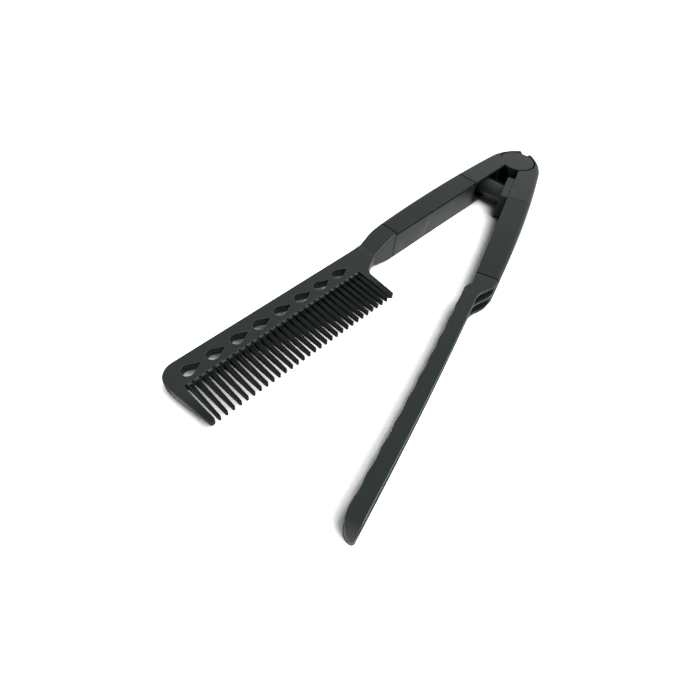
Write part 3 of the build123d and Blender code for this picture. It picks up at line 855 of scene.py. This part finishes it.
@dataclass
class ClampSide:
    """Clamp arm: hinge end, grip of shell and cover, slotted jaw and the spring housing."""

    body: str = "clamp_side"
    hinge_node: str = "clamp_hinge_arm"
    shell_node: str = "clamp_handle_shell"
    housing_node: str = "spring_housing"
    cover_node: str = "clamp_handle_cover"
    jaw_node: str = "clamp_jaw"
    seams_mm: tuple[float, ...] = (NECK_SEAM_MM,)
    ring_mm: float = 10.8
    # Strength of the painted highlight along the jaw's outer edges.
    jaw_edge_highlight: float = 0.7
    nose_start_mm: float = 242.0
    nose_reach_mm: float = 10.0
    nose_drop_mm: float = 13.5
    nose_power: float = 3.4
    nose_steps: int = 22
    nose_past_tip: float = 1.08
    cutter_sides_mm: Range = (-12.0, 14.0)
    cutter_height_mm: float = 5.0
    slot_roof_mm: float = 12.7
    slot_roof_slack_mm: float = 0.01
    roof_start_mm: float = 234.0
    roof_run_mm: float = 14.0
    roof_drop_mm: float = 1.7

    def build_jaw(self) -> bpy.types.Object:
        """Round the top of the jaw's nose down to its tip.

        Returns:
            The jaw, in place of the frame's own.
        """
        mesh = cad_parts[self.jaw_node].data.copy()
        mesh.name = "jaw_with_rounded_nose"
        self._thicken_nose(mesh)
        jaw = add_object(mesh.name, mesh)
        cutter = self._nose_cutter()
        cut = jaw.modifiers.new("nose", "BOOLEAN")
        cut.operation = "DIFFERENCE"
        cut.solver = "EXACT"
        cut.object = cutter
        evaluated = jaw.evaluated_get(bpy.context.evaluated_depsgraph_get())
        rounded = bpy.data.meshes.new_from_object(evaluated)
        jaw.modifiers.remove(cut)
        jaw.data = rounded
        bpy.data.meshes.remove(mesh)
        bpy.data.objects.remove(cutter)
        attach(jaw, self.body)
        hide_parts(self.jaw_node)
        LOG.info("jaw with rounded nose rides with %s", self.body)
        return jaw

    def _thicken_nose(self, mesh: bpy.types.Mesh) -> None:
        """Lower the slot's roof towards the nose, so that the rounding stays closed over it.

        Args:
            mesh: Mesh of the jaw, which is changed in place.
        """
        out, _ = CLAMP_ARM.directions()
        start = Vector(CLAMP_ARM.hinge_mm)
        roof = self.slot_roof_mm + self.slot_roof_slack_mm
        for vertex in mesh.vertices:
            past = (vertex.co / MM - start).dot(out) - self.roof_start_mm
            if past > 0.0 and BODY_HEIGHT_MM / 2 < vertex.co.z / MM < roof:
                vertex.co.z -= min(past / self.roof_run_mm, 1.0) * self.roof_drop_mm * MM

    def _nose_cutter(self) -> bpy.types.Object:
        """Make the block that cuts the nose, whose underside curves down to the tip.

        Returns:
            The cutter, in the frame's place.
        """
        above = BODY_HEIGHT_MM + self.cutter_height_mm
        profile = []
        for step in range(self.nose_steps + 1):
            share = self.nose_past_tip * step / self.nose_steps
            height = BODY_HEIGHT_MM - self.nose_drop_mm * share**self.nose_power
            profile.append((self.nose_start_mm + share * self.nose_reach_mm, height))
        profile += [(profile[-1][0], above), (self.nose_start_mm, above)]
        out, inward = CLAMP_ARM.directions()
        start = Vector(CLAMP_ARM.hinge_mm)
        points = [
            start + out * along + inward * side + UP * height
            for side in self.cutter_sides_mm
            for along, height in profile
        ]
        count = len(profile)
        faces = [tuple(range(count)), tuple(reversed(range(count, 2 * count)))]
        for index in range(count):
            following = (index + 1) % count
            faces.append((count + index, count + following, following, index))
        return add_object("nose_cutter", closed_mesh("nose_cutter", points, faces))

    def dress(self) -> None:
        """Give each piece of the arm its finish."""
        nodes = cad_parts
        hinge = MouldedPlastic("clamp_hinge_plastic", CLAMP_ARM, ring_mm=self.ring_mm)
        shell = MouldedPlastic(
            "clamp_shell_plastic",
            CLAMP_ARM,
            colour=SHELL_COLOUR,
            gloss_level=SHELL_GLOSS_LEVEL,
            seams_mm=self.seams_mm,
        )
        jaw = MouldedPlastic(
            "jaw_plastic", CLAMP_ARM, edge_highlight_strength=self.jaw_edge_highlight, seams_mm=self.seams_mm
        )
        dress_node(nodes[self.hinge_node], hinge.build())
        dress_node(nodes[self.shell_node], shell.build())
        dress_node(nodes[self.housing_node], MouldedPlastic("housing_plastic", CLAMP_ARM).build())
        dress_node(nodes[self.cover_node], CoverPlastic("clamp_cover_plastic", CLAMP_ARM).build())
        dress_node(self.build_jaw(), jaw.build())
        LOG.info("clamp side dressed, on body %s", self.body)


@dataclass
class ReturnSpring:
    """Compression spring between the tube's floor and the housing, closed at both ends."""

    node: str = "return_spring"
    bodies: tuple[str, str] = ("comb_side", "clamp_side")
    coil_radius_mm: float = 2.3
    wire_radius_mm: float = 0.42
    open_turns: float = 8.0
    closed_turns: float = 1.0
    closed_pitch_in_radii: float = 2.1
    steps_per_turn: int = 28
    wire_sides: int = 12

    def _extent(self, direction: Vector) -> Range:
        """Measure the frame's own spring from the hinge axis.

        Args:
            direction: Unit vector to measure along.

        Returns:
            The nearest and the farthest distance, in millimetres.
        """
        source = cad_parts[self.node]
        start = Vector(COMB_ARM.hinge_mm)
        places = [(source.matrix_world @ vertex.co) / MM for vertex in source.data.vertices]
        reaches = [(place - start).dot(direction) for place in places]
        return min(reaches), max(reaches)

    def _rise(self, turn: float, length_mm: float) -> float:
        """Find how far the wire has come from the first coil.

        Args:
            turn: Turns from the start.
            length_mm: Distance from the first coil to the last.

        Returns:
            The distance in millimetres.
        """
        closed_pitch = self.closed_pitch_in_radii * self.wire_radius_mm
        open_pitch = (length_mm - 2 * self.closed_turns * closed_pitch) / self.open_turns
        first = min(turn, self.closed_turns)
        last = max(turn - self.closed_turns - self.open_turns, 0.0)
        return (first + last) * closed_pitch + (turn - first - last) * open_pitch

    def _wind(
        self, base: Vector, start_mm: float, length_mm: float
    ) -> tuple[list[Vector], list[tuple]]:
        """Sweep the round wire along the coils.

        Args:
            base: Point of the spring's axis beside the hinge axis, in millimetres.
            start_mm: Distance from there to the first coil.
            length_mm: Distance from the first coil to the last.

        Returns:
            Points in millimetres, and the faces of wire and ends.
        """
        out, inward = COMB_ARM.directions()
        sides = self.wire_sides
        turns = self.open_turns + 2 * self.closed_turns
        count = round(turns * self.steps_per_turn)
        points, faces = [], []
        for step in range(count + 1):
            turn = turns * step / count
            radial = out * cos(2 * pi * turn) + UP * sin(2 * pi * turn)
            middle = base + radial * self.coil_radius_mm
            middle += inward * (start_mm + self._rise(turn, length_mm))
            for side in range(sides):
                angle = 2 * pi * side / sides
                rim = radial * cos(angle) + inward * sin(angle)
                points.append(middle + rim * self.wire_radius_mm)
        for low in range(0, count * sides, sides):
            for side in range(sides):
                following = (side + 1) % sides
                faces.append(
                    (low + side, low + following, low + sides + following, low + sides + side)
                )
        faces += [tuple(reversed(range(sides))), tuple(range(len(points) - sides, len(points)))]
        return points, faces

    def build(self) -> bpy.types.Object:
        """Wind the spring.

        Returns:
            The spring.
        """
        out, inward = COMB_ARM.directions()
        nearest, farthest = self._extent(inward)
        centre_out, centre_up = sum(self._extent(out)) / 2, sum(self._extent(UP)) / 2
        base = Vector(COMB_ARM.hinge_mm) + out * centre_out + UP * centre_up
        length = farthest - nearest - 2 * self.wire_radius_mm
        points, faces = self._wind(base, nearest + self.wire_radius_mm, length)
        mesh = closed_mesh("smooth_return_spring", points, faces)
        mesh.shade_smooth()
        spring = add_object("smooth_return_spring", mesh)
        dress_node(spring, BareSteel("return_spring_steel").build())
        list(self.bodies)
        (base + inward * nearest) * MM
        (base + inward * farthest) * MM
        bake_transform(spring)
        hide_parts(self.node)
        LOG.info("return spring: %.1f mm long between %s and %s", length, *self.bodies)
        return spring


@dataclass
class Fasteners:
    """Metal of the tong: hinge pin and the four grip screws."""

    nodes: tuple[str, ...] = ("hinge_pin", "comb_handle_screws", "clamp_handle_screws")

    def dress(self) -> None:
        """Give each metal piece its finish."""
        for name in self.nodes:
            dress_node(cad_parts[name], BareSteel(name + "_steel").build())
        LOG.info("fasteners: %d metal pieces", len(self.nodes))


# ---------------------------------------------------------------------- studio
@dataclass
class Studio:
    """White table, one soft lamp, even surroundings and the camera over the comb's tip."""

    floor_size_m: float = 3.0
    floor_gap_mm: float = 0.05
    surround_strength: float = 0.14
    seen_strength: float = 1.0
    lamp_place_m: Triple = (0.75, 0.0, 1.75)
    lamp_size_m: float = 1.2
    lamp_watts: float = 42.0
    camera_place_mm: Triple = (64.244, -174.965, 171.106)
    azimuth: float = 29.188
    elevation: float = 52.575
    roll: float = 6.735
    focal_px: float = 467.173
    picture_px: float = 700.0
    sensor_mm: float = 36.0
    clip_start_m: float = 0.01

    def build_floor(self) -> bpy.types.Object:
        """Lay the white table top.

        Returns:
            The floor.
        """
        half = self.floor_size_m / 2
        level = -self.floor_gap_mm * MM
        signs = [(-1, -1), (1, -1), (1, 1), (-1, 1)]
        corners = [(x * half, y * half, level) for x, y in signs]
        mesh = bpy.data.meshes.new("table_top")
        mesh.from_pydata(corners, [], [(0, 1, 2, 3)])
        floor = add_object("table_top", mesh)
        floor.data.materials.append(WhiteTable().build())
        return floor

    def build_camera(self) -> bpy.types.Object:
        """Set the camera.

        Returns:
            The camera.
        """
        turn, tilt, bank = radians(self.azimuth), radians(self.elevation), radians(self.roll)
        right = Vector((cos(turn), sin(turn), 0.0))
        ahead = Vector((-sin(turn) * cos(tilt), cos(turn) * cos(tilt), -sin(tilt)))
        above = right.cross(ahead)
        rolled_right = right * cos(bank) + above * sin(bank)
        rolled_above = above * cos(bank) - right * sin(bank)
        place = Vector(self.camera_place_mm) * MM
        lens = bpy.data.cameras.new("camera")
        lens.sensor_width = self.sensor_mm
        lens.lens = self.sensor_mm * self.focal_px / self.picture_px
        lens.clip_start = self.clip_start_m
        camera = add_object("camera", lens)
        camera.matrix_world = Matrix(
            (
                (rolled_right.x, rolled_above.x, -ahead.x, place.x),
                (rolled_right.y, rolled_above.y, -ahead.y, place.y),
                (rolled_right.z, rolled_above.z, -ahead.z, place.z),
                (0.0, 0.0, 0.0, 1.0),
            )
        )
        bpy.context.scene.camera = camera
        return camera

    def build_lamp(self) -> bpy.types.Object:
        """Hang the square soft lamp, which faces the tong and isn't mirrored in it.

        Returns:
            The lamp.
        """
        light = bpy.data.lights.new("key_lamp", "AREA")
        light.shape = "SQUARE"
        light.size = self.lamp_size_m
        light.energy = self.lamp_watts
        lamp = add_object("key_lamp", light)
        lamp.location = self.lamp_place_m
        lamp.rotation_euler = Vector(self.lamp_place_m).to_track_quat("Z", "Y").to_euler()
        lamp.visible_glossy = False
        return lamp

    def build_world(self) -> bpy.types.World:
        """Light the surroundings evenly, white to the camera and in reflections.

        Returns:
            The world.
        """
        tree = ShaderTree(bpy.data.worlds.new("studio"))
        white = {"Color": (1.0, 1.0, 1.0)}
        dim = tree.node(NodeKind.BACKGROUND, {}, white | {"Strength": self.surround_strength})
        seen = tree.node(NodeKind.BACKGROUND, {}, white | {"Strength": self.seen_strength})
        camera, mirrored = tree.background_rays()
        shares = {0: camera.at_least(mirrored), 1: dim, 2: seen}
        world = tree.finish(tree.node(NodeKind.MIX_SHADER, {}, shares))
        bpy.context.scene.world = world
        return world

    def build(self) -> None:
        """Build floor, surroundings, lamp and camera."""
        self.build_floor()
        self.build_world()
        self.build_lamp()
        self.build_camera()
        bpy.context.scene.view_settings.view_transform = "Standard"
        LOG.info("studio: floor, lamp and camera set")


def main() -> None:
    """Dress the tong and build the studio."""
    logging.basicConfig(level=logging.INFO, format="%(message)s")
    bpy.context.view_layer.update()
    CombSide().dress()
    ClampSide().dress()
    Fasteners().dress()
    ReturnSpring().build()
    Studio().build()


if __name__ == "__main__":
    main()
